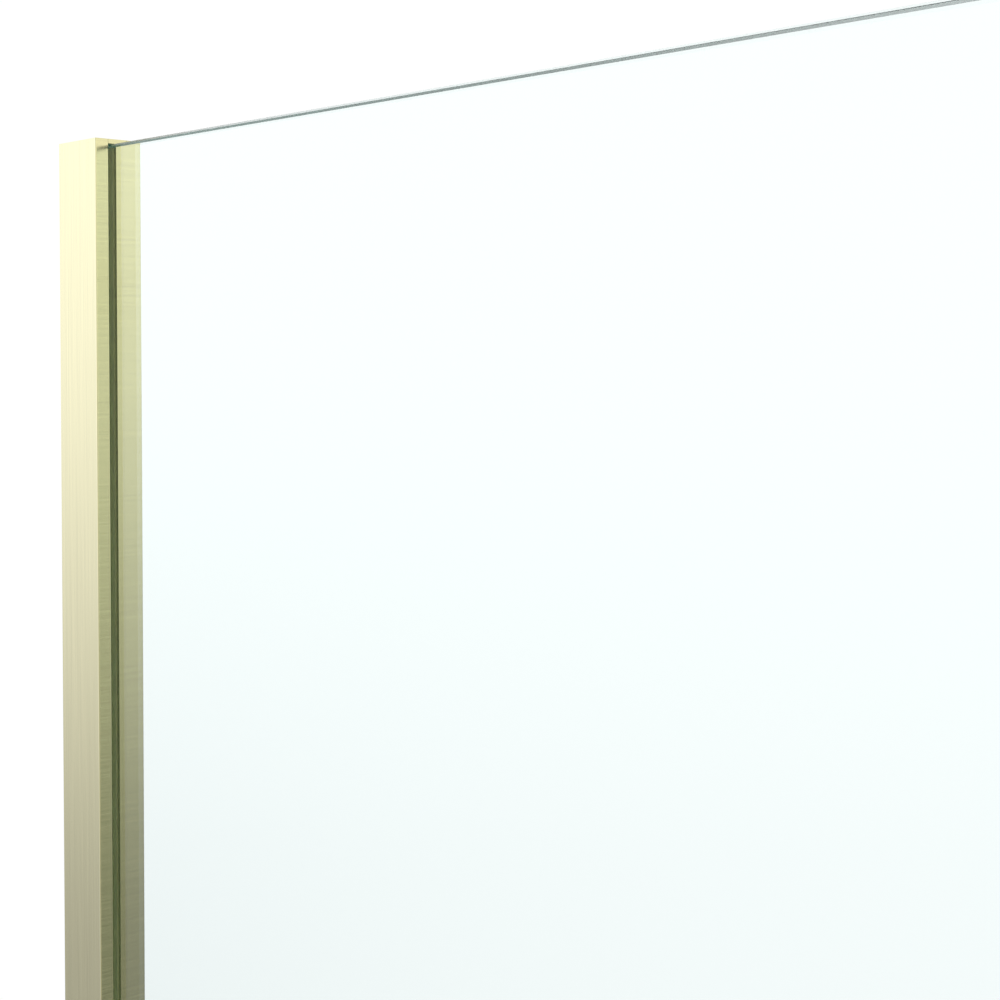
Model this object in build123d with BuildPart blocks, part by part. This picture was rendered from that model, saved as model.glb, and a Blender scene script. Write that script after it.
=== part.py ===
from build123d import *

import os

# A walk-in shower screen: a pane of toughened glass, held along the wall in a brushed post and
# steadied at its free end by a telescopic square bar that runs across to a second wall.
# Millimetres. X runs from the wall along the glass, Y runs across it to its inner side and Z up.
# The origin is on the wall, at the floor, in the middle of the glass's thickness.

# Screen and glass
screen_height = 1950.0
screen_width = 1185.0
glass_thickness = 8.0
glass_lift = 6.0
glass_arris = 0.8
glass_corner_radius = 5.0

# Wall channel
adjust_travel = 15.0
channel_web = 1.8
channel_wall = 1.2
channel_cap_gap = 4.2
wall_hole_diameter = 5.2
wall_hole_inset = 100.0
wall_hole_count = 4

# Post that slides over the wall channel and grips the glass
slide_clearance = 0.35
post_wall = 1.4
post_wall_gap = 0.5
post_end_gap = 2.0
post_corner_radius = 0.6
rib_wall = 1.3
mouth_clearance = 0.2
wall_screw_room = 5.9
gasket_thickness = 1.3
gasket_recess = 0.9
gasket_edge_gap = 2.7
edge_packer_thickness = 1.5
edge_packer_height = 40.0
setting_block_gap = 1.6
setting_block_clearance = 0.3

# Locking screws, in pairs through the post's inner side
screw_clearance = 0.05
lock_rows = 3
lock_from_end = 90.5
lock_screw_diameter = 4.0
lock_screw_reach = 0.7
lock_tip_gap = 2.6
lock_head_diameter = 7.6
lock_head_height = 2.2
lock_head_round = 1.3
lock_socket = 2.5
lock_socket_depth = 1.3
lock_washer_diameter = 8.4
lock_washer_thickness = 0.6
lock_washer_gap = 1.6
lock_slot_clearance = 0.3
lock_slot_land = 1.3
lock_plate_width = 8.0
lock_plate_thickness = 2.5
lock_plate_end = 5.0
lock_plate_web_gap = 1.7
lock_plate_clearance = 0.15

# Top cap of the post
cap_thickness = 1.8
cap_clearance = 0.1
cap_glass_gap = 0.5
cap_leg_width = 10.0
cap_leg_end = 7.4
cap_leg_clearance = 0.4
cap_screw_diameter = 3.0
cap_screw_drop = 12.4
cap_screw_bite = 5.5
cap_head_diameter = 5.6
cap_head_height = 1.7
cap_head_round = 1.0
cap_socket = 2.0
cap_socket_depth = 0.9

# Seal and packers under the glass
seal_wall = 1.2
seal_web = 2.2
seal_leg = 12.0
seal_skirt = 1.0
seal_play = 0.1
seal_end_gap = 0.6
floor_packer_length = 30.0
floor_packer_inset = 60.0
floor_packer_count = 2
floor_packer_clearance = 0.3

# Clamp on the glass's top edge
clamp_from_free_edge = 100.0
clamp_roof = 6.0
clamp_roof_gap = 0.5
clamp_front_cheek = 6.0
clamp_rear_cheek = 7.0
clamp_edge_radius = 1.0
clamp_pad_thickness = 1.5
clamp_pad_margin = 1.0
clamp_pad_drop = 9.0
pressure_plate_thickness = 1.5
pressure_plate_play = 0.2
clamp_screw_diameter = 6.0
clamp_screw_pitch = 20.0
clamp_screw_end = 8.0
clamp_screw_rise = 8.0
clamp_screw_boss_gap = 6.9
clamp_screw_recess = 0.5
clamp_screw_socket = 3.0
clamp_screw_socket_depth = 3.0
boss_length = 18.0
boss_wall = 3.0
boss_drop = 6.0

# Telescopic bar
bar_reach = 1000.0
bar_shortening = 250.0
bar_start_gap = 5.0
bar_end_gap = 3.8
inner_tube_side = 14.0
inner_tube_wall = 1.5
outer_tube_wall = 1.5
tube_gap = 1.0
tube_fit = 0.1
tube_corner_radius = 1.0
slider_clearance = 0.2
slider_head_length = 12.0
slider_plug_length = 16.0
slider_plug_wall = 2.0
collar_length = 14.0
collar_lip = 3.0
collar_wall = 1.5
collar_clearance = 0.3
bar_screw_diameter = 4.0
bar_screw_recess = 0.1
bar_screw_socket = 2.0
bar_screw_socket_depth = 1.5

# Bracket at the bar's far end
bracket_plate_thickness = 4.0
bracket_flange = 5.4
bracket_cup_wall = 3.0
bracket_cup_length = 24.0
bracket_screw_room = 6.0
bracket_hole_diameter = 5.2
bracket_edge_radius = 0.8

# Places along the glass, from the wall outwards
lock_x = channel_web + lock_plate_web_gap + lock_plate_width / 2
lock_slot_end = lock_x + adjust_travel + lock_screw_diameter / 2 + lock_slot_clearance
channel_depth = lock_slot_end + lock_slot_land
lip_inside = channel_depth + post_end_gap
post_end = lip_inside + post_wall
pocket_back = channel_web + wall_screw_room
pocket_floor = pocket_back + rib_wall
glass_start = pocket_floor + edge_packer_thickness
cap_leg_x = (pocket_back + lip_inside) / 2

# Layers of the post, from the middle of the glass to its front and its rear
glass_face = glass_thickness / 2
mouth_half = glass_face + mouth_clearance
rib_inside = glass_face + gasket_thickness
rib_outside = rib_inside + rib_wall
front_flange_inside = rib_outside + slide_clearance
front_flange_outside = front_flange_inside + channel_wall
front_wall_inside = front_flange_outside + slide_clearance
front_face = front_wall_inside + post_wall
screw_bay = lock_plate_clearance + lock_plate_thickness + lock_screw_reach + lock_tip_gap
rear_flange_inside = rib_outside + screw_bay
rear_flange_outside = rear_flange_inside + channel_wall
rear_wall_inside = rear_flange_outside + slide_clearance
rear_face = rear_wall_inside + post_wall

# Heights
cap_bottom = screen_height - cap_thickness
cap_leg_bottom = screen_height - cap_screw_drop - cap_leg_end
channel_height = cap_leg_bottom - channel_cap_gap
glass_top = cap_bottom - cap_glass_gap
lock_pitch = lock_washer_diameter + lock_washer_gap
lock_step = (screen_height - 2 * lock_from_end) / (lock_rows - 1)
lock_heights = [lock_from_end + row * lock_step for row in range(lock_rows)]
lock_screw_heights = [z + side * lock_pitch / 2 for z in lock_heights for side in (-1, 1)]
wall_hole_step = (screen_height - 2 * wall_hole_inset) / (wall_hole_count - 1)
wall_hole_heights = [wall_hole_inset + hole * wall_hole_step for hole in range(wall_hole_count)]

# Clamp and bar
clamp_x = screen_width - clamp_from_free_edge
bar_z = glass_top - boss_drop
bar_bore = inner_tube_side + 2 * tube_fit
boss_side = bar_bore + 2 * boss_wall
clamp_screw_z = bar_z - boss_side / 2 - clamp_screw_boss_gap - clamp_screw_diameter / 2
clamp_bottom = clamp_screw_z - clamp_screw_rise
clamp_half_length = clamp_screw_pitch / 2 + clamp_screw_end
clamp_pad_face = glass_face + clamp_pad_thickness
pressure_plate_face = clamp_pad_face + pressure_plate_thickness
clamp_rear_inside = pressure_plate_face + pressure_plate_play
clamp_rear_face = clamp_rear_inside + clamp_rear_cheek
boss_end = clamp_rear_face + boss_length
boss_screw_y = clamp_rear_face + boss_length / 2
outer_tube_bore = inner_tube_side + 2 * tube_gap
outer_tube_side = outer_tube_bore + 2 * outer_tube_wall
collar_bore = outer_tube_side + 2 * tube_fit
collar_side = collar_bore + 2 * collar_wall
collar_start = boss_end + bar_start_gap + bar_shortening
outer_tube_start = collar_start + collar_lip
collar_screw_y = collar_start + collar_length / 2
bracket_back = bar_reach - bracket_plate_thickness
bracket_cup_start = bracket_back - bracket_cup_length
outer_tube_end = bracket_back - bracket_screw_room
bracket_screw_y = (bracket_cup_start + outer_tube_end) / 2
cup_side = collar_bore + 2 * bracket_cup_wall
inner_tube_end = bracket_back - bar_end_gap - bar_shortening - slider_head_length


def box_between(x, y, z, mode=Mode.ADD):
    """A box in the active part, with its (low, high) limits along each axis."""
    middle = tuple(sum(limits) / 2 for limits in (x, y, z))
    with Locations(middle):
        Box(x[1] - x[0], y[1] - y[0], z[1] - z[0], mode=mode)


def rectangle_between(x, y, mode=Mode.ADD):
    """A rectangle in the active sketch, with its (low, high) limits along each axis."""
    with Locations((sum(x) / 2, sum(y) / 2)):
        Rectangle(x[1] - x[0], y[1] - y[0], mode=mode)


def facing_rear(x, y, z):
    """A plane at a point of the row frame that faces +Y, with its own Y pointing up."""
    return Plane(origin=(x, y, z), x_dir=(-1, 0, 0), z_dir=(0, 1, 0))


def facing_down(x, y, z):
    """A plane at a point of the row frame that faces the floor."""
    return Plane(origin=(x, y, z), x_dir=(1, 0, 0), z_dir=(0, 0, -1))


def screw_hole(diameter, depth):
    """A hole that a screw's thread just fills, at the active location."""
    Hole(diameter / 2 + screw_clearance, depth=depth)


def square_tube(side, bore, start, end):
    """A square tube in the active part, along the bar's line between two distances in Y."""
    with BuildSketch(facing_rear(clamp_x, start, bar_z)) as section:
        RectangleRounded(side, side, tube_corner_radius)
        Rectangle(bore, bore, mode=Mode.SUBTRACT)
    extrude(section.sketch, amount=end - start)


def grub_screw(diameter, length, socket, socket_depth):
    """A headless screw: its socket opens upwards at its own origin and its body hangs below."""
    with BuildPart() as screw:
        with BuildSketch(Plane.XY):
            Circle(diameter / 2)
        extrude(amount=-length)
        with BuildSketch(Plane.XY):
            RegularPolygon(socket / 2, 6, major_radius=False)
        extrude(amount=-socket_depth, mode=Mode.SUBTRACT)
    return screw.part


def button_screw(diameter, length, head, head_height, head_round, socket, socket_depth):
    """A button-head screw: its head stands on its own XY plane and its shank hangs below."""
    with BuildPart() as screw:
        with BuildSketch(Plane.XY):
            Circle(head / 2)
        extrude(amount=head_height)
        fillet(screw.faces().sort_by(Axis.Z)[-1].edges(), radius=head_round)
        with BuildSketch(Plane.XY.offset(head_height)):
            RegularPolygon(socket / 2, 6, major_radius=False)
        extrude(amount=-socket_depth, mode=Mode.SUBTRACT)
        with BuildSketch(Plane.XY):
            Circle(diameter / 2)
        extrude(amount=-length)
    return screw.part


# Wall channel: an extruded U, screwed to the wall through its web, with a slot for each
# locking screw in its rear flange
with BuildPart() as wall_channel:
    with BuildSketch(Plane.XY):
        rectangle_between((0, channel_web), (-front_flange_outside, rear_flange_outside))
        rectangle_between((0, channel_depth), (-front_flange_outside, -front_flange_inside))
        rectangle_between((0, channel_depth), (rear_flange_inside, rear_flange_outside))
    extrude(amount=channel_height)
    web_middle = (rear_flange_outside - front_flange_outside) / 2
    web_face = Plane(origin=(channel_web, web_middle, 0), x_dir=(0, 1, 0), z_dir=(1, 0, 0))
    with BuildSketch(web_face):
        with Locations(*[(0, z) for z in wall_hole_heights]):
            Circle(wall_hole_diameter / 2)
    extrude(amount=-channel_web, mode=Mode.SUBTRACT)
    slot_middle = lock_x + adjust_travel / 2
    with BuildSketch(facing_rear(slot_middle, rear_flange_outside, 0)):
        with Locations(*[(0, z) for z in lock_screw_heights]):
            SlotCenterToCenter(adjust_travel, lock_screw_diameter + 2 * lock_slot_clearance)
    extrude(amount=-channel_wall, mode=Mode.SUBTRACT)

# Post: an extruded box, open towards the wall, with a mouth in its end and a pocket behind it
with BuildPart() as post_profile:
    with BuildSketch(Plane.XY) as shell_section:
        rectangle_between((post_wall_gap, post_end), (-front_face, rear_face))
        fillet(shell_section.vertices().sort_by(Axis.X)[-2:], radius=post_corner_radius)
        rectangle_between(
            (post_wall_gap, lip_inside), (-front_wall_inside, rear_wall_inside), mode=Mode.SUBTRACT
        )
        rectangle_between((lip_inside, post_end), (-mouth_half, mouth_half), mode=Mode.SUBTRACT)
    extrude(amount=screen_height)
    with BuildSketch(Plane.XY):
        rectangle_between((pocket_back, lip_inside), (-rib_outside, -rib_inside))
        rectangle_between((pocket_back, lip_inside), (rib_inside, rib_outside))
        rectangle_between((pocket_back, pocket_floor), (-rib_outside, rib_outside))
    extrude(amount=cap_bottom - cap_clearance)
    with Locations(*[facing_rear(lock_x, rear_face, z) for z in lock_screw_heights]):
        screw_hole(lock_screw_diameter, post_wall)
    with Locations(facing_rear(cap_leg_x, rear_face, screen_height - cap_screw_drop)):
        screw_hole(cap_screw_diameter, post_wall)

# Glass pane: ground edges all round, with rounded corners at its free end
with BuildPart() as glass_panel:
    box_between((glass_start, screen_width), (-glass_face, glass_face), (glass_lift, glass_top))
    fillet(glass_panel.edges().filter_by(Axis.Y).sort_by(Axis.X)[-2:], radius=glass_corner_radius)
    chamfer(glass_panel.faces().filter_by(Axis.Y).edges(), length=glass_arris)

# Gaskets: soft strips that wedge the pane between the pocket's ribs
gasket_x = (glass_start + gasket_edge_gap, lip_inside - gasket_recess)
gasket_z = (glass_lift + glass_arris, glass_top - glass_arris)
with BuildPart() as front_gasket:
    box_between(gasket_x, (-rib_inside, -glass_face), gasket_z)

with BuildPart() as rear_gasket:
    box_between(gasket_x, (glass_face, rib_inside), gasket_z)

# Edge packers: slips between the pane's edge and the pocket's back
edge_flat = glass_face - glass_arris
with BuildPart() as edge_packers:
    for middle in lock_heights:
        packer_z = (middle - edge_packer_height / 2, middle + edge_packer_height / 2)
        box_between((pocket_floor, glass_start), (-edge_flat, edge_flat), packer_z)

# Setting block: carries the pane's lower corner inside the post
setting_block_half = rib_inside - setting_block_clearance
with BuildPart() as setting_block:
    box_between(
        (glass_start, lip_inside - setting_block_gap),
        (-setting_block_half, setting_block_half),
        (0, glass_lift),
    )

# Locking plates: threaded strips that grip the channel's rear flange from inside
lock_plate_face = rear_flange_inside - lock_plate_clearance
lock_plate_half = lock_pitch / 2 + lock_plate_end
with BuildPart() as lock_plates:
    for middle in lock_heights:
        box_between(
            (lock_x - lock_plate_width / 2, lock_x + lock_plate_width / 2),
            (lock_plate_face - lock_plate_thickness, lock_plate_face),
            (middle - lock_plate_half, middle + lock_plate_half),
        )
    with Locations(*[facing_rear(lock_x, lock_plate_face, z) for z in lock_screw_heights]):
        screw_hole(lock_screw_diameter, lock_plate_thickness)

# Locking screws, each on a washer, through the post, the channel's slot and the plate
lock_head_seat = rear_face + lock_washer_thickness
lock_screw_tip = lock_plate_face - lock_plate_thickness - lock_screw_reach
lock_screw = button_screw(
    lock_screw_diameter,
    lock_head_seat - lock_screw_tip,
    lock_head_diameter,
    lock_head_height,
    lock_head_round,
    lock_socket,
    lock_socket_depth,
)
with BuildPart() as lock_screws:
    with Locations(*[facing_rear(lock_x, lock_head_seat, z) for z in lock_screw_heights]):
        add(lock_screw)

with BuildPart() as lock_washers:
    with BuildSketch(facing_rear(lock_x, rear_face, 0)):
        with Locations(*[(0, z) for z in lock_screw_heights]):
            Circle(lock_washer_diameter / 2)
            Circle(lock_screw_diameter / 2 + screw_clearance, mode=Mode.SUBTRACT)
    extrude(amount=lock_washer_thickness)

# Top cap: lies flush in the post's end, with a tongue in the mouth and a leg for its screw
cap_leg_rear = rear_wall_inside - cap_clearance
with BuildPart() as top_cap:
    box_between(
        (post_wall_gap + cap_clearance, lip_inside - cap_clearance),
        (cap_clearance - front_wall_inside, cap_leg_rear),
        (cap_bottom, screen_height),
    )
    box_between(
        (lip_inside - cap_clearance, post_end),
        (cap_clearance - mouth_half, mouth_half - cap_clearance),
        (cap_bottom, screen_height),
    )
    box_between(
        (cap_leg_x - cap_leg_width / 2, cap_leg_x + cap_leg_width / 2),
        (rib_outside + cap_leg_clearance, cap_leg_rear),
        (cap_leg_bottom, cap_bottom),
    )
    with Locations(facing_rear(cap_leg_x, cap_leg_rear, screen_height - cap_screw_drop)):
        screw_hole(cap_screw_diameter, cap_leg_rear - rib_outside)

# Cap screw: from the post's inner side into the cap's leg
cap_screw_body = button_screw(
    cap_screw_diameter,
    post_wall + cap_clearance + cap_screw_bite,
    cap_head_diameter,
    cap_head_height,
    cap_head_round,
    cap_socket,
    cap_socket_depth,
)
with BuildPart() as cap_screw:
    with Locations(facing_rear(cap_leg_x, rear_face, screen_height - cap_screw_drop)):
        add(cap_screw_body)

# Floor seal: a clear strip pushed on to the pane's bottom edge, with two skirts to the floor
seal_inside = glass_face + seal_play
seal_outside = seal_inside + seal_wall
skirt_inside = seal_outside - seal_skirt
seal_web_low = glass_lift - seal_web
seal_start = post_end + seal_end_gap
seal_end = screen_width - glass_corner_radius
with BuildPart() as floor_seal:
    with BuildSketch(Plane.YZ.offset(seal_start)):
        rectangle_between((-seal_outside, seal_outside), (0, glass_lift + seal_leg))
        rectangle_between(
            (-seal_inside, seal_inside), (glass_lift, glass_lift + seal_leg), mode=Mode.SUBTRACT
        )
        rectangle_between((-skirt_inside, skirt_inside), (0, seal_web_low), mode=Mode.SUBTRACT)
    extrude(amount=seal_end - seal_start)

# Floor packers: carry the pane beyond the post, under the seal's web
packer_half = skirt_inside - floor_packer_clearance
first_packer_end = screen_width - floor_packer_inset
packer_step = (first_packer_end - post_end) / floor_packer_count
with BuildPart() as floor_packers:
    for packer in range(floor_packer_count):
        packer_end = first_packer_end - packer * packer_step
        box_between(
            (packer_end - floor_packer_length, packer_end),
            (-packer_half, packer_half),
            (0, seal_web_low),
        )

# Clamp: a saddle over the pane's top edge, with a square boss for the bar
clamp_x_span = (clamp_x - clamp_half_length, clamp_x + clamp_half_length)
with BuildPart() as glass_clamp:
    box_between(
        clamp_x_span,
        (-clamp_pad_face - clamp_front_cheek, clamp_rear_face),
        (clamp_bottom, glass_top + clamp_roof_gap + clamp_roof),
    )
    fillet(glass_clamp.edges(), radius=clamp_edge_radius)
    box_between(
        clamp_x_span,
        (-clamp_pad_face, clamp_rear_inside),
        (clamp_bottom, glass_top + clamp_roof_gap),
        mode=Mode.SUBTRACT,
    )
    with BuildSketch(facing_rear(clamp_x, clamp_rear_face, bar_z)):
        RectangleRounded(boss_side, boss_side, tube_corner_radius)
    extrude(amount=boss_length)
    with BuildSketch(facing_rear(clamp_x, clamp_rear_face, bar_z)):
        Rectangle(bar_bore, bar_bore)
    extrude(amount=boss_length, mode=Mode.SUBTRACT)
    with Locations(facing_rear(clamp_x, clamp_rear_face, clamp_screw_z)):
        with GridLocations(clamp_screw_pitch, 0, 2, 1):
            screw_hole(clamp_screw_diameter, clamp_rear_cheek)
    with Locations(facing_down(clamp_x, boss_screw_y, bar_z - boss_side / 2)):
        screw_hole(bar_screw_diameter, boss_wall)

# Clamp pads, and the plate that spreads the screws' pressure
pad_x = (clamp_x_span[0] + clamp_pad_margin, clamp_x_span[1] - clamp_pad_margin)
pad_z = (clamp_bottom + clamp_pad_margin, glass_top - clamp_pad_drop)
with BuildPart() as front_pad:
    box_between(pad_x, (-clamp_pad_face, -glass_face), pad_z)

with BuildPart() as rear_pad:
    box_between(pad_x, (glass_face, clamp_pad_face), pad_z)

with BuildPart() as pressure_plate:
    box_between(pad_x, (clamp_pad_face, pressure_plate_face), pad_z)

# Clamp screws: press the plate and the pads on to the pane
clamp_screw_face = clamp_rear_face - clamp_screw_recess
clamp_screw = grub_screw(
    clamp_screw_diameter,
    clamp_screw_face - pressure_plate_face,
    clamp_screw_socket,
    clamp_screw_socket_depth,
)
with BuildPart() as clamp_screws:
    with Locations(facing_rear(clamp_x, clamp_screw_face, clamp_screw_z)):
        with GridLocations(clamp_screw_pitch, 0, 2, 1):
            add(clamp_screw)

# Inner tube: stands in the clamp's boss, where a grub screw holds it
inner_tube_bore = inner_tube_side - 2 * inner_tube_wall
with BuildPart() as inner_tube:
    square_tube(inner_tube_side, inner_tube_bore, clamp_rear_face, inner_tube_end)

boss_screw_length = tube_fit + boss_wall - bar_screw_recess
boss_screw = grub_screw(
    bar_screw_diameter, boss_screw_length, bar_screw_socket, bar_screw_socket_depth
)
boss_screw_face = bar_z - inner_tube_side / 2 - boss_screw_length
with BuildPart() as inner_tube_screw:
    with Locations(facing_down(clamp_x, boss_screw_y, boss_screw_face)):
        add(boss_screw)

# Slider: a plug in the inner tube's end, whose head runs in the outer tube
slider_side = outer_tube_bore - 2 * slider_clearance
plug_side = inner_tube_bore - 2 * tube_fit
plug_bore = plug_side - 2 * slider_plug_wall
with BuildPart() as tube_slider:
    square_tube(slider_side, plug_bore, inner_tube_end, inner_tube_end + slider_head_length)
    square_tube(plug_side, plug_bore, inner_tube_end - slider_plug_length, inner_tube_end)

# Outer tube: slides along the inner one, with a hole for the collar's screw
with BuildPart() as outer_tube:
    square_tube(outer_tube_side, outer_tube_bore, outer_tube_start, outer_tube_end)
    with Locations(facing_down(clamp_x, collar_screw_y, bar_z - outer_tube_side / 2)):
        screw_hole(bar_screw_diameter, outer_tube_wall)

# Collar: closes the outer tube's mouth and carries the screw that sets the bar's length
with BuildPart() as bar_collar:
    lip_bore = inner_tube_side + 2 * collar_clearance
    square_tube(collar_side, lip_bore, collar_start, outer_tube_start)
    square_tube(collar_side, collar_bore, outer_tube_start, collar_start + collar_length)
    with Locations(facing_down(clamp_x, collar_screw_y, bar_z - collar_side / 2)):
        screw_hole(bar_screw_diameter, collar_wall)

collar_screw_length = (collar_side - inner_tube_side) / 2 - bar_screw_recess
length_screw = grub_screw(
    bar_screw_diameter, collar_screw_length, bar_screw_socket, bar_screw_socket_depth
)
with BuildPart() as collar_screw:
    with Locations(
        facing_down(clamp_x, collar_screw_y, bar_z - collar_side / 2 + bar_screw_recess)
    ):
        add(length_screw)

# Bracket: a plate on the second wall, with a square cup for the outer tube
with BuildPart() as wall_bracket:
    plate_side = cup_side + 2 * bracket_flange
    with BuildSketch(facing_rear(clamp_x, bracket_back, bar_z)):
        RectangleRounded(plate_side, plate_side, bracket_edge_radius)
    extrude(amount=bracket_plate_thickness)
    fillet(wall_bracket.faces().sort_by(Axis.Y)[0].edges(), radius=bracket_edge_radius)
    square_tube(cup_side, collar_bore, bracket_cup_start, bracket_back)
    with Locations(facing_rear(clamp_x, bar_reach, bar_z)):
        Hole(bracket_hole_diameter / 2, depth=bracket_plate_thickness)
    with Locations(facing_down(clamp_x, bracket_screw_y, bar_z - cup_side / 2)):
        screw_hole(bar_screw_diameter, bracket_cup_wall)

cup_screw_length = tube_fit + bracket_cup_wall - bar_screw_recess
cup_screw = grub_screw(
    bar_screw_diameter, cup_screw_length, bar_screw_socket, bar_screw_socket_depth
)
with BuildPart() as bracket_screw:
    with Locations(
        facing_down(clamp_x, bracket_screw_y, bar_z - cup_side / 2 + bar_screw_recess)
    ):
        add(cup_screw)

pieces = {
    "wall_channel": wall_channel,
    "post_profile": post_profile,
    "glass_panel": glass_panel,
    "front_gasket": front_gasket,
    "rear_gasket": rear_gasket,
    "edge_packers": edge_packers,
    "setting_block": setting_block,
    "lock_plates": lock_plates,
    "lock_screws": lock_screws,
    "lock_washers": lock_washers,
    "top_cap": top_cap,
    "cap_screw": cap_screw,
    "floor_seal": floor_seal,
    "floor_packers": floor_packers,
    "glass_clamp": glass_clamp,
    "front_pad": front_pad,
    "rear_pad": rear_pad,
    "pressure_plate": pressure_plate,
    "clamp_screws": clamp_screws,
    "inner_tube": inner_tube,
    "inner_tube_screw": inner_tube_screw,
    "tube_slider": tube_slider,
    "outer_tube": outer_tube,
    "bar_collar": bar_collar,
    "collar_screw": collar_screw,
    "wall_bracket": wall_bracket,
    "bracket_screw": bracket_screw,
}

os.makedirs("parts", exist_ok=True)
for name, piece in pieces.items():
    piece.part.label = name
    export_step(piece.part, f"parts/{name}.step")
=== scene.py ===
import math

import bmesh
import bpy
import numpy as np
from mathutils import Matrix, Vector


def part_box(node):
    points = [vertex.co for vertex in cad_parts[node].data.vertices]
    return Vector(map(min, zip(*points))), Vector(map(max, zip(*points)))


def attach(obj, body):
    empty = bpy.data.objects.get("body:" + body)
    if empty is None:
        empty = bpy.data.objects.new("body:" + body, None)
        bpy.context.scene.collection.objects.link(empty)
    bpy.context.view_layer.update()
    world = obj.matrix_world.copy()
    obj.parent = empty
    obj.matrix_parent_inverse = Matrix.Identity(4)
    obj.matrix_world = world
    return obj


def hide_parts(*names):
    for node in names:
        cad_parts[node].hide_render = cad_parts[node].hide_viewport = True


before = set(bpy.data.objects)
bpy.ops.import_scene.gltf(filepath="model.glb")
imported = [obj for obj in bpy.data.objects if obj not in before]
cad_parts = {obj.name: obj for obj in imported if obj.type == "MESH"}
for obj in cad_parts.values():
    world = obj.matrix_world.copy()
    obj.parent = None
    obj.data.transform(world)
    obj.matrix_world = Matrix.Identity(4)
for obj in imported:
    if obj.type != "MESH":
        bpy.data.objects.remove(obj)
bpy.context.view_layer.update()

scene = bpy.context.scene


# Wall channel: a U of extruded aluminium, left as it comes from the mill because the post
# covers it. The die leaves fine lines along its length.
mill_colour = (0.62, 0.62, 0.60, 1)
mill_line_width = 0.0007
mill_line_length = 0.30


def drawn_line_group():
    """Fine lines in a metal's skin: two noises, one three times as fine, whose mean is 0.5.

    Place is a point measured in line widths across the lines and in line lengths along them.
    Tone is one plus the mean noise's distance from its middle times Contrast."""
    group = bpy.data.node_groups.new("drawn_lines", "ShaderNodeTree")
    group.interface.new_socket("Place", in_out="INPUT", socket_type="NodeSocketVector")
    group.interface.new_socket("Contrast", in_out="INPUT", socket_type="NodeSocketFloat")
    group.interface.new_socket("Tone", in_out="OUTPUT", socket_type="NodeSocketFloat")
    group.interface.new_socket("Height", in_out="OUTPUT", socket_type="NodeSocketFloat")
    given = group.nodes.new("NodeGroupInput")
    result = group.nodes.new("NodeGroupOutput")
    coarse = group.nodes.new("ShaderNodeTexNoise")
    fine = group.nodes.new("ShaderNodeTexNoise")
    coarse.inputs["Scale"].default_value = 1.0
    fine.inputs["Scale"].default_value = 3.0
    mean = group.nodes.new("ShaderNodeMath")
    mean.operation = "MULTIPLY_ADD"
    mean.inputs[1].default_value = 0.5
    half_fine = group.nodes.new("ShaderNodeMath")
    half_fine.operation = "MULTIPLY"
    half_fine.inputs[1].default_value = 0.5
    offset = group.nodes.new("ShaderNodeMath")
    offset.operation = "SUBTRACT"
    offset.inputs[1].default_value = 0.5
    tone = group.nodes.new("ShaderNodeMath")
    tone.operation = "MULTIPLY_ADD"
    tone.inputs[2].default_value = 1.0
    group.links.new(given.outputs["Place"], coarse.inputs["Vector"])
    group.links.new(given.outputs["Place"], fine.inputs["Vector"])
    group.links.new(fine.outputs["Fac"], half_fine.inputs[0])
    group.links.new(coarse.outputs["Fac"], mean.inputs[0])
    group.links.new(half_fine.outputs[0], mean.inputs[2])
    group.links.new(mean.outputs[0], offset.inputs[0])
    group.links.new(offset.outputs[0], tone.inputs[0])
    group.links.new(given.outputs["Contrast"], tone.inputs[1])
    group.links.new(tone.outputs[0], result.inputs["Tone"])
    group.links.new(mean.outputs[0], result.inputs["Height"])
    return group


drawn_lines = drawn_line_group()


def line_place(material, along, width, length):
    """Object coordinates divided by the line's length along one axis and its width across it."""
    nodes, links = material.node_tree.nodes, material.node_tree.links
    coordinates = nodes.new("ShaderNodeTexCoord")
    mapping = nodes.new("ShaderNodeMapping")
    scale = [1 / width] * 3
    scale["XYZ".index(along)] = 1 / length
    mapping.inputs["Scale"].default_value = scale
    links.new(coordinates.outputs["Object"], mapping.inputs["Vector"])
    return mapping.outputs["Vector"]


def new_finish(name):
    """A material with a bare Principled shader, and that shader."""
    material = bpy.data.materials.new(name)
    material.use_nodes = True
    return material, material.node_tree.nodes["Principled BSDF"]


def lined_metal(name, colour, roughness, contrast, depth, place_of, colour_of=None):
    """Metal with drawn lines: they shade its colour, vary its roughness and ruffle its face.

    place_of(material) gives the socket that says where a point lies among the lines, and
    colour_of(material), where given, the socket that takes the even colour's place."""
    material, shader = new_finish(name)
    nodes, links = material.node_tree.nodes, material.node_tree.links
    lines = nodes.new("ShaderNodeGroup")
    lines.node_tree = drawn_lines
    lines.inputs["Contrast"].default_value = contrast
    links.new(place_of(material), lines.inputs["Place"])
    tinted = nodes.new("ShaderNodeVectorMath")
    tinted.operation = "SCALE"
    tinted.inputs[0].default_value = colour[:3]
    if colour_of:
        links.new(colour_of(material), tinted.inputs[0])
    links.new(lines.outputs["Tone"], tinted.inputs["Scale"])
    links.new(tinted.outputs["Vector"], shader.inputs["Base Color"])
    spread = nodes.new("ShaderNodeMapRange")
    spread.inputs["From Min"].default_value = 0.3
    spread.inputs["From Max"].default_value = 0.7
    spread.inputs["To Min"].default_value = roughness * 0.8
    spread.inputs["To Max"].default_value = roughness * 1.2
    links.new(lines.outputs["Height"], spread.inputs["Value"])
    links.new(spread.outputs["Result"], shader.inputs["Roughness"])
    bump = nodes.new("ShaderNodeBump")
    bump.inputs["Strength"].default_value = 0.5
    bump.inputs["Distance"].default_value = depth
    links.new(lines.outputs["Height"], bump.inputs["Height"])
    links.new(bump.outputs["Normal"], shader.inputs["Normal"])
    shader.inputs["Metallic"].default_value = 1.0
    return material


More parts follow.
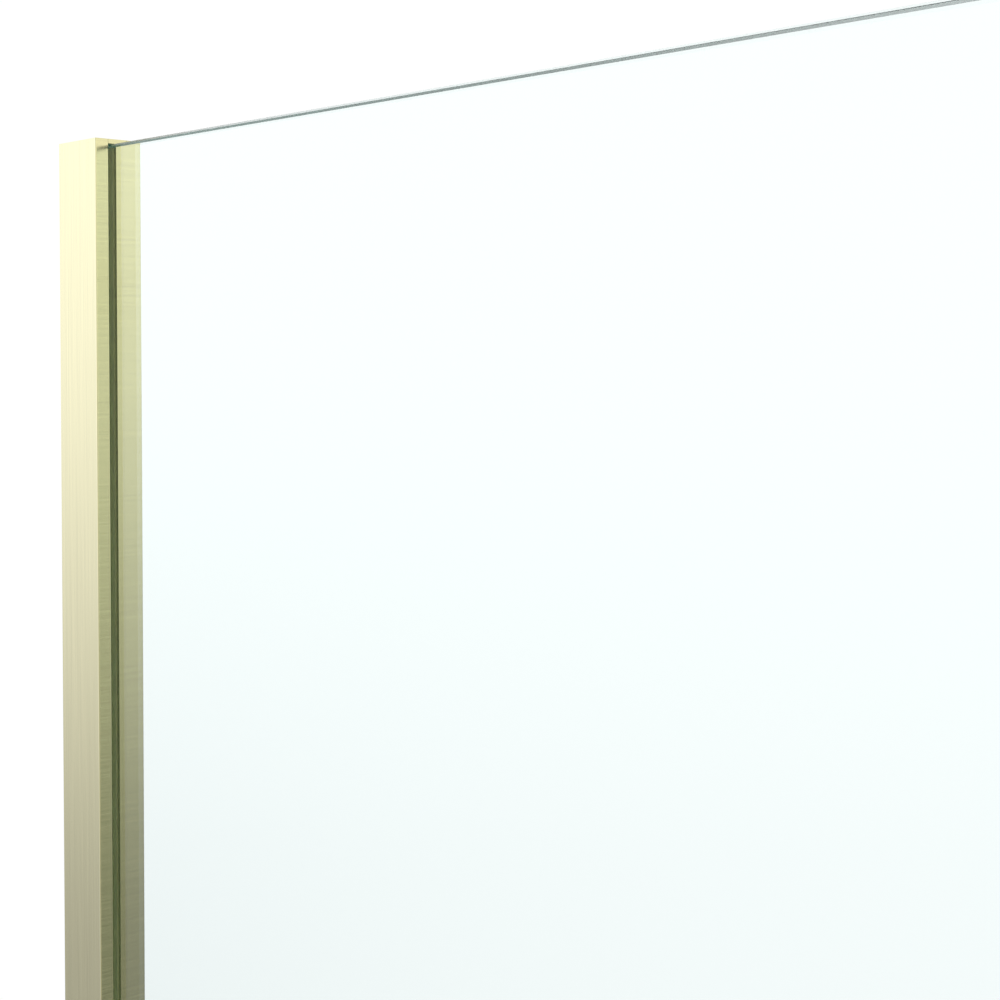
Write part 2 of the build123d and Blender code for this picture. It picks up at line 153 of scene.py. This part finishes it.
def dress(material, *names):
    """Puts a material in the slots of these CAD nodes."""
    for name in names:
        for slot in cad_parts[name].material_slots:
            slot.material = material


mill_aluminium = lined_metal(
    "mill_aluminium",
    mill_colour,
    roughness=0.38,
    contrast=0.35,
    depth=0.00002,
    place_of=lambda material: line_place(material, "Z", mill_line_width, mill_line_length),
)
dress(mill_aluminium, "wall_channel")


# Post and its top cap: extruded aluminium, anodised in a pale brass colour after brushing.
# The front is brushed along the post. The narrow end, where the glass leaves it, is brushed
# across, and its colour is painted a little yellower as a stand-in for the light it mirrors.
brass_colour = (0.80, 0.765, 0.52, 1)
# Painted tint: the end face's yellower colour stands in for the light it mirrors, not for a change
# of finish.
end_painted_tint = (0.82, 0.775, 0.425, 1)
brass_roughness = 0.18
brush_contrast = 0.32
brush_depth = 0.000008
brush_width = 0.0007
brush_length = 0.12
end_brush_width = 0.0011
end_brush_length = 0.05
end_face_tilt = 0.7


def end_face(material):
    """A mask that is one where the normal points along the glass, and nothing elsewhere."""
    nodes, links = material.node_tree.nodes, material.node_tree.links
    geometry = nodes.new("ShaderNodeNewGeometry")
    split = nodes.new("ShaderNodeSeparateXYZ")
    on_end = nodes.new("ShaderNodeMath")
    on_end.operation = "GREATER_THAN"
    on_end.inputs[1].default_value = end_face_tilt
    links.new(geometry.outputs["True Normal"], split.inputs["Vector"])
    links.new(split.outputs["X"], on_end.inputs[0])
    return on_end.outputs[0]


def post_brush(material):
    """Lines along Z, but along Y on the end face."""
    nodes, links = material.node_tree.nodes, material.node_tree.links
    choice = nodes.new("ShaderNodeMix")
    choice.data_type = "VECTOR"
    lengthwise = line_place(material, "Z", brush_width, brush_length)
    crosswise = line_place(material, "Y", end_brush_width, end_brush_length)
    links.new(end_face(material), choice.inputs["Factor"])
    links.new(lengthwise, choice.inputs["A"])
    links.new(crosswise, choice.inputs["B"])
    return choice.outputs["Result"]


def post_colour_with_painted_end_tint(material):
    """The brass colour, but on the end face a yellower painted tint for the light the end mirrors.
    """
    nodes, links = material.node_tree.nodes, material.node_tree.links
    choice = nodes.new("ShaderNodeMix")
    choice.data_type = "RGBA"
    choice.inputs["A"].default_value = brass_colour
    choice.inputs["B"].default_value = end_painted_tint
    links.new(end_face(material), choice.inputs["Factor"])
    return choice.outputs["Result"]


brushed_post = lined_metal(
    "brushed_brass_post",
    brass_colour,
    brass_roughness,
    brush_contrast,
    brush_depth,
    place_of=post_brush,
    colour_of=post_colour_with_painted_end_tint,
)
dress(brushed_post, "post_profile", "top_cap")


# Packers and blocks: natural nylon slips behind and under the pane, and the slider in the bar.
# Their moulded faces are matt and slightly mottled.
nylon_colour = (0.78, 0.77, 0.70, 1)
nylon_shade = (0.66, 0.65, 0.58, 1)
nylon_grain = 0.0012


def mottled_plastic(name, light, dark, grain, roughness, depth):
    """Plastic whose colour drifts between two tones, with a fine moulded grain in its face."""
    material, shader = new_finish(name)
    nodes, links = material.node_tree.nodes, material.node_tree.links
    coordinates = nodes.new("ShaderNodeTexCoord")
    noise = nodes.new("ShaderNodeTexNoise")
    noise.inputs["Scale"].default_value = 1 / grain
    noise.inputs["Detail"].default_value = 4.0
    drift = nodes.new("ShaderNodeTexNoise")
    drift.inputs["Scale"].default_value = 0.1 / grain
    tone = nodes.new("ShaderNodeMix")
    tone.data_type = "RGBA"
    tone.inputs["A"].default_value = dark
    tone.inputs["B"].default_value = light
    spread = nodes.new("ShaderNodeMapRange")
    spread.inputs["To Min"].default_value = roughness * 0.85
    spread.inputs["To Max"].default_value = roughness * 1.15
    bump = nodes.new("ShaderNodeBump")
    bump.inputs["Strength"].default_value = 0.4
    bump.inputs["Distance"].default_value = depth
    links.new(coordinates.outputs["Object"], noise.inputs["Vector"])
    links.new(coordinates.outputs["Object"], drift.inputs["Vector"])
    links.new(drift.outputs["Fac"], tone.inputs["Factor"])
    links.new(tone.outputs["Result"], shader.inputs["Base Color"])
    links.new(noise.outputs["Fac"], spread.inputs["Value"])
    links.new(spread.outputs["Result"], shader.inputs["Roughness"])
    links.new(noise.outputs["Fac"], bump.inputs["Height"])
    links.new(bump.outputs["Normal"], shader.inputs["Normal"])
    return material


natural_nylon = mottled_plastic(
    "natural_nylon", nylon_colour, nylon_shade, nylon_grain, roughness=0.5, depth=0.00003
)
dress(natural_nylon, "edge_packers", "setting_block", "floor_packers", "tube_slider")


# Glass pane: clear toughened float, polished, with a ground arris along every edge. Iron in the
# glass takes a little red out of the light, so long paths through it, as at the edges, go green.
glass_tint = (0.04, 0.955, 0.875, 1)
glass_density = 8.5
glass_index = 1.52
arris_roughness = 0.36
arris_low = 0.3
arris_high = 0.9
edge_glow = (0.03, 0.09, 0.07)


def float_glass():
    """Clear glass that is rough only where its face is tilted like an arris. A faint green
    glow on its free end stands for the light that the pane leads there."""
    material, shader = new_finish("float_glass")
    nodes, links = material.node_tree.nodes, material.node_tree.links
    shader.inputs["Base Color"].default_value = (1, 1, 1, 1)
    shader.inputs["Transmission Weight"].default_value = 1.0
    shader.inputs["IOR"].default_value = glass_index
    geometry = nodes.new("ShaderNodeNewGeometry")
    split = nodes.new("ShaderNodeSeparateXYZ")
    tilt = nodes.new("ShaderNodeMath")
    tilt.operation = "ABSOLUTE"
    above = nodes.new("ShaderNodeMath")
    above.operation = "GREATER_THAN"
    above.inputs[1].default_value = arris_low
    below = nodes.new("ShaderNodeMath")
    below.operation = "LESS_THAN"
    below.inputs[1].default_value = arris_high
    both = nodes.new("ShaderNodeMath")
    both.operation = "MULTIPLY"
    rough = nodes.new("ShaderNodeMath")
    rough.operation = "MULTIPLY"
    rough.inputs[1].default_value = arris_roughness
    links.new(geometry.outputs["True Normal"], split.inputs["Vector"])
    links.new(split.outputs["Y"], tilt.inputs[0])
    links.new(tilt.outputs[0], above.inputs[0])
    links.new(tilt.outputs[0], below.inputs[0])
    links.new(above.outputs[0], both.inputs[0])
    links.new(below.outputs[0], both.inputs[1])
    links.new(both.outputs[0], rough.inputs[0])
    links.new(rough.outputs[0], shader.inputs["Roughness"])
    free_end = nodes.new("ShaderNodeMath")
    free_end.operation = "GREATER_THAN"
    free_end.inputs[1].default_value = arris_low
    glow = nodes.new("ShaderNodeVectorMath")
    glow.operation = "SCALE"
    glow.inputs[0].default_value = edge_glow
    links.new(split.outputs["X"], free_end.inputs[0])
    links.new(free_end.outputs[0], glow.inputs["Scale"])
    links.new(glow.outputs["Vector"], shader.inputs["Emission Color"])
    shader.inputs["Emission Strength"].default_value = 1.0
    absorption = nodes.new("ShaderNodeVolumeAbsorption")
    absorption.inputs["Color"].default_value = glass_tint
    absorption.inputs["Density"].default_value = glass_density
    links.new(absorption.outputs["Volume"], nodes["Material Output"].inputs["Volume"])
    return material


dress(float_glass(), "glass_panel")


# Gaskets: soft clear strips pushed in on both sides of the pane. Each has a flat back against
# its rib and four rounded lips that bear on the glass. They are drawn opaque, with a bright pale
# brass tone painted in that stands for the brass seen through and mirrored in them.
# Painted light: both tones are a bright brass that stands for the brass seen through the strips and
# mirrored in them.
gasket_painted_brass_colour = (0.95, 0.90, 0.48, 1)
gasket_painted_brass_shade = (0.88, 0.83, 0.42, 1)
gasket_shine = 0.3
gasket_grain = 0.002
gasket_lips = 4
gasket_lip_depth = 0.0003
gasket_outline_points = 65


def closed_skin(name, rings):
    """A closed skin through rings of points: quads join each ring to the next, and one face
    closes each end. rings has a ring, a point and a coordinate as its three axes."""
    ring_count, point_count = rings.shape[:2]
    ring = np.arange(ring_count - 1)[:, None] * point_count
    point = np.arange(point_count)[None, :]
    following = (point + 1) % point_count
    corners = (ring + point, ring + following, ring + point_count + following,
               ring + point_count + point)
    sides = np.stack(corners, axis=-1).reshape(-1, 4).tolist()
    first_end = list(range(point_count))
    last_end = [(ring_count - 1) * point_count + index for index in first_end]
    mesh = bpy.data.meshes.new(name)
    mesh.from_pydata(rings.reshape(-1, 3).tolist(), [], sides + [first_end, last_end])
    shape = bmesh.new()
    shape.from_mesh(mesh)
    bmesh.ops.recalc_face_normals(shape, faces=shape.faces)
    shape.to_mesh(mesh)
    shape.free()
    piece = bpy.data.objects.new(name, mesh)
    scene.collection.objects.link(piece)
    return piece


def lipped_gasket(node, glass_side, back_side):
    """A strip carried straight up. Its glass side lies back from the glass by half the lip
    depth times one minus the cosine of the distance across, so that each lip's crest touches."""
    low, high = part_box(node)
    share = np.linspace(0, 1, gasket_outline_points)
    across = low.x + (high.x - low.x) * share
    inward = 1 if back_side > glass_side else -1
    dip = gasket_lip_depth * (1 - np.cos(2 * np.pi * gasket_lips * share)) / 2
    x = np.concatenate([across, across[::-1]])
    y = np.concatenate([glass_side + inward * dip, np.full(gasket_outline_points, back_side)])
    rings = np.stack(
        [np.stack([x, y, np.full(x.shape, z)], axis=-1) for z in (low.z, high.z)]
    )
    return closed_skin(node + "_strip", rings)


soft_gasket = mottled_plastic(
    "soft_gasket", gasket_painted_brass_colour, gasket_painted_brass_shade, gasket_grain, roughness=0.3, depth=0.00001
)
soft_gasket.node_tree.nodes["Principled BSDF"].inputs["Metallic"].default_value = gasket_shine
for gasket in ("front_gasket", "rear_gasket"):
    gasket_low, gasket_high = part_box(gasket)
    if gasket == "front_gasket":
        strip = lipped_gasket(gasket, gasket_high.y, gasket_low.y)
    else:
        strip = lipped_gasket(gasket, gasket_low.y, gasket_high.y)
    strip.data.materials.append(soft_gasket)
    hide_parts(gasket)
    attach(strip, "panel")


# Screws, washers and plates: stainless steel. The locking screws hold the post to the channel,
# and the headless ones grip the pane and the bar.
steel_colour = (0.58, 0.57, 0.55, 1)
turning_width = 0.00015
turning_length = 0.004
turned_steel = lined_metal(
    "turned_steel",
    steel_colour,
    roughness=0.26,
    contrast=0.25,
    depth=0.000006,
    place_of=lambda material: line_place(material, "Y", turning_width, turning_length),
)
dress(
    turned_steel,
    "lock_plates",
    "lock_screws",
    "lock_washers",
    "cap_screw",
    "pressure_plate",
    "clamp_screws",
    "inner_tube_screw",
    "collar_screw",
    "bracket_screw",
)


# Floor seal: a clear extruded strip pushed on to the pane's bottom edge. Its skirts meet the
# tray. Drawing leaves faint lines along it.
seal_colour = (0.93, 0.95, 0.95, 1)
seal_index = 1.46
seal_line_width = 0.001
seal_line_length = 0.4


def clear_seal():
    """Clear plastic with a roughness that varies in lines along the strip."""
    material, shader = new_finish("clear_seal")
    nodes, links = material.node_tree.nodes, material.node_tree.links
    shader.inputs["Base Color"].default_value = seal_colour
    shader.inputs["Transmission Weight"].default_value = 0.9
    shader.inputs["IOR"].default_value = seal_index
    lines = nodes.new("ShaderNodeGroup")
    lines.node_tree = drawn_lines
    links.new(
        line_place(material, "X", seal_line_width, seal_line_length), lines.inputs["Place"]
    )
    spread = nodes.new("ShaderNodeMapRange")
    spread.inputs["To Min"].default_value = 0.02
    spread.inputs["To Max"].default_value = 0.25
    links.new(lines.outputs["Height"], spread.inputs["Value"])
    links.new(spread.outputs["Result"], shader.inputs["Roughness"])
    return material


dress(clear_seal(), "floor_seal")


# Glass clamp, collar and wall bracket: solid brass fittings, squared up and brushed along the
# bar, in the post's colour.
brushed_fitting = lined_metal(
    "brushed_brass_fitting",
    brass_colour,
    brass_roughness,
    brush_contrast,
    brush_depth,
    place_of=lambda material: line_place(material, "X", brush_width, end_brush_length),
)
dress(brushed_fitting, "glass_clamp", "bar_collar", "wall_bracket")


# Clamp pads: soft black slips with rounded corners that keep the clamp's metal off the pane.
pad_colour = (0.035, 0.035, 0.035, 1)
pad_shade = (0.02, 0.02, 0.02, 1)
pad_grain = 0.0008
pad_corner = 0.003
pad_rim = 0.0004
pad_corner_points = 9


def rounded_pad(node):
    """A rounded rectangle carried through the pad's thickness and drawn in by its rim at both
    faces. Each corner is a quarter circle about a centre one corner radius inside."""
    low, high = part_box(node)
    middle = (low + high) / 2
    reach = np.array([(high.x - low.x) / 2 - pad_corner, (high.z - low.z) / 2 - pad_corner])
    turn = np.linspace(0, np.pi / 2, pad_corner_points)
    quarter = np.arange(4)[:, None] * np.pi / 2
    angle = (quarter + turn[None, :]).ravel()
    side = np.repeat(np.array([[1, 1], [-1, 1], [-1, -1], [1, -1]]), pad_corner_points, axis=0)
    rings = []
    for y, drawn_in in (
        (low.y, pad_rim),
        (low.y + pad_rim, 0),
        (high.y - pad_rim, 0),
        (high.y, pad_rim),
    ):
        radius = pad_corner - drawn_in
        x = middle.x + side[:, 0] * reach[0] + radius * np.cos(angle)
        z = middle.z + side[:, 1] * reach[1] + radius * np.sin(angle)
        rings.append(np.stack([x, np.full(x.shape, y), z], axis=-1))
    return closed_skin(node + "_slip", np.stack(rings))


pad_rubber = mottled_plastic(
    "pad_rubber", pad_colour, pad_shade, pad_grain, roughness=0.7, depth=0.00005
)
for pad in ("front_pad", "rear_pad"):
    slip = rounded_pad(pad)
    slip.data.materials.append(pad_rubber)
    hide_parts(pad)
    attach(slip, "panel")


# Bar: two square tubes of stainless steel, coated in the post's colour and brushed along their
# length. The outer one slides over the inner one to meet the second wall.
brushed_tube = lined_metal(
    "brushed_brass_tube",
    brass_colour,
    brass_roughness,
    brush_contrast,
    brush_depth,
    place_of=lambda material: line_place(material, "Y", brush_width, brush_length),
)
dress(brushed_tube, "inner_tube", "outer_tube")


# Floor: a pale matt sheet under the screen. Nothing mirrors it, because the room's fade below
# eye level stands in for it, and it ends before the post would mirror it through the pane.
floor_low = (-2.4, -2.5)
floor_high = (2.4, 2.3)
floor_depth = -0.0006
floor_light = (0.84, 0.84, 0.83, 1)
floor_dark = (0.80, 0.80, 0.79, 1)
floor_grain = 0.02
floor_mesh = bpy.data.meshes.new("studio_floor")
floor_corners = [
    (floor_low[0], floor_low[1], floor_depth),
    (floor_high[0], floor_low[1], floor_depth),
    (floor_high[0], floor_high[1], floor_depth),
    (floor_low[0], floor_high[1], floor_depth),
]
floor_mesh.from_pydata(floor_corners, [], [(0, 1, 2, 3)])
studio_floor = bpy.data.objects.new("studio_floor", floor_mesh)
studio_floor.visible_glossy = False
scene.collection.objects.link(studio_floor)
floor_mesh.materials.append(
    mottled_plastic("pale_floor", floor_light, floor_dark, floor_grain, roughness=0.8, depth=0.0001)
)


# Light: a white room without lamps. What is seen straight or through the glass is plain white.
# What shines off the metal is bright above eye level, more so on the outer side, fades below it
# and comes back at the pale floor. The side where the first camera stands is dimmer.
room_peak = 1.25
room_steps = (
    (-1.000, 0.950),
    (-0.620, 0.800),
    (-0.480, 0.520),
    (-0.390, 0.330),
    (-0.333, 0.310),
    (-0.266, 0.405),
    (-0.215, 0.534),
    (-0.107, 0.771),
    (-0.050, 0.925),
    (0.000, 1.030),
    (0.060, 1.120),
    (0.117, 1.190),
    (1.000, 1.250),
)
seen_level = 1.015
inner_side_steepness = 0.400
inner_side_loss = 0.326
dim_side = (0.72, -0.69, 0.0)
dim_side_edge = 0.80
dim_side_core = 0.97
dim_side_level = 0.5


def white_room():
    """World light whose reflected part comes from the ray's direction (x, y, z): a level read
    off a ramp at z, to the power 1 + steepness * y, times 1 - loss * y, times the dim side."""
    world = bpy.data.worlds.new("white_room")
    world.use_nodes = True
    nodes, links = world.node_tree.nodes, world.node_tree.links
    nodes.clear()

    def calculate(operation, *operands):
        """A Math node with each operand linked where it is a socket, and set where not."""
        node = nodes.new("ShaderNodeMath")
        node.operation = operation
        for place, operand in enumerate(operands):
            if isinstance(operand, bpy.types.NodeSocket):
                links.new(operand, node.inputs[place])
            else:
                node.inputs[place].default_value = operand
        return node.outputs[0]

    direction = nodes.new("ShaderNodeTexCoord")
    split = nodes.new("ShaderNodeSeparateXYZ")
    links.new(direction.outputs["Generated"], split.inputs["Vector"])
    ramp = nodes.new("ShaderNodeValToRGB")
    elements = ramp.color_ramp.elements
    while len(elements) < len(room_steps):
        elements.new(0.5)
    for element, (rise, level) in zip(elements, room_steps):
        element.position = (rise + 1) / 2
        element.color = (level / room_peak, level / room_peak, level / room_peak, 1)
    links.new(calculate("MULTIPLY_ADD", split.outputs["Z"], 0.5, 0.5), ramp.inputs["Fac"])
    level = calculate("MULTIPLY", ramp.outputs["Color"], room_peak)
    steepness = calculate("MULTIPLY_ADD", split.outputs["Y"], inner_side_steepness, 1.0)
    side = calculate("MULTIPLY_ADD", split.outputs["Y"], -inner_side_loss, 1.0)
    facing = nodes.new("ShaderNodeVectorMath")
    facing.operation = "DOT_PRODUCT"
    facing.inputs[1].default_value = dim_side
    links.new(direction.outputs["Generated"], facing.inputs[0])
    dimming = nodes.new("ShaderNodeMapRange")
    dimming.inputs["From Min"].default_value = dim_side_edge
    dimming.inputs["From Max"].default_value = dim_side_core
    dimming.inputs["To Min"].default_value = 1.0
    dimming.inputs["To Max"].default_value = dim_side_level
    links.new(facing.outputs["Value"], dimming.inputs["Value"])
    lit = calculate("MULTIPLY", calculate("POWER", level, steepness), side)
    reflected = nodes.new("ShaderNodeBackground")
    reflected.inputs["Color"].default_value = (1, 1, 1, 1)
    links.new(calculate("MULTIPLY", lit, dimming.outputs["Result"]), reflected.inputs["Strength"])
    seen = nodes.new("ShaderNodeBackground")
    seen.inputs["Color"].default_value = (1, 1, 1, 1)
    seen.inputs["Strength"].default_value = seen_level
    path = nodes.new("ShaderNodeLightPath")
    straight = calculate(
        "MAXIMUM", path.outputs["Is Camera Ray"], path.outputs["Is Transmission Ray"]
    )
    bounces = calculate("ADD", path.outputs["Glossy Depth"], path.outputs["Diffuse Depth"])
    choice = nodes.new("ShaderNodeMixShader")
    output = nodes.new("ShaderNodeOutputWorld")
    unbounced = calculate("LESS_THAN", bounces, 0.5)
    links.new(calculate("MULTIPLY", straight, unbounced), choice.inputs["Fac"])
    links.new(reflected.outputs["Background"], choice.inputs[1])
    links.new(seen.outputs["Background"], choice.inputs[2])
    links.new(choice.outputs["Shader"], output.inputs["Surface"])
    return world


scene.world = white_room()
scene.view_settings.view_transform = "Standard"


# Camera: a little below the post's top and close to the pane, on its outer side. Its place is
# measured from the post, and its shift keeps the horizon where the photograph has it.
post_low, post_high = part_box("post_profile")
camera_from_post = Vector((0.6225, -0.3570, -0.0883))
camera_heading = Vector((-0.7341, 0.6791, 0.0))
camera_pitch = math.radians(1.632)
camera_lens = 63.18
camera_shift = -0.09
camera_data = bpy.data.cameras.new("camera")
camera_data.lens = camera_lens
camera_data.sensor_width = 36.0
camera_data.shift_y = camera_shift
camera_data.clip_start = 0.01
camera = bpy.data.objects.new("camera", camera_data)
camera.location = Vector((post_high.x, post_low.y, post_high.z)) + camera_from_post
line_of_sight = camera_heading.normalized() * math.cos(camera_pitch)
line_of_sight.z = -math.sin(camera_pitch)
camera.rotation_euler = line_of_sight.to_track_quat("-Z", "Y").to_euler()
scene.collection.objects.link(camera)
scene.camera = camera
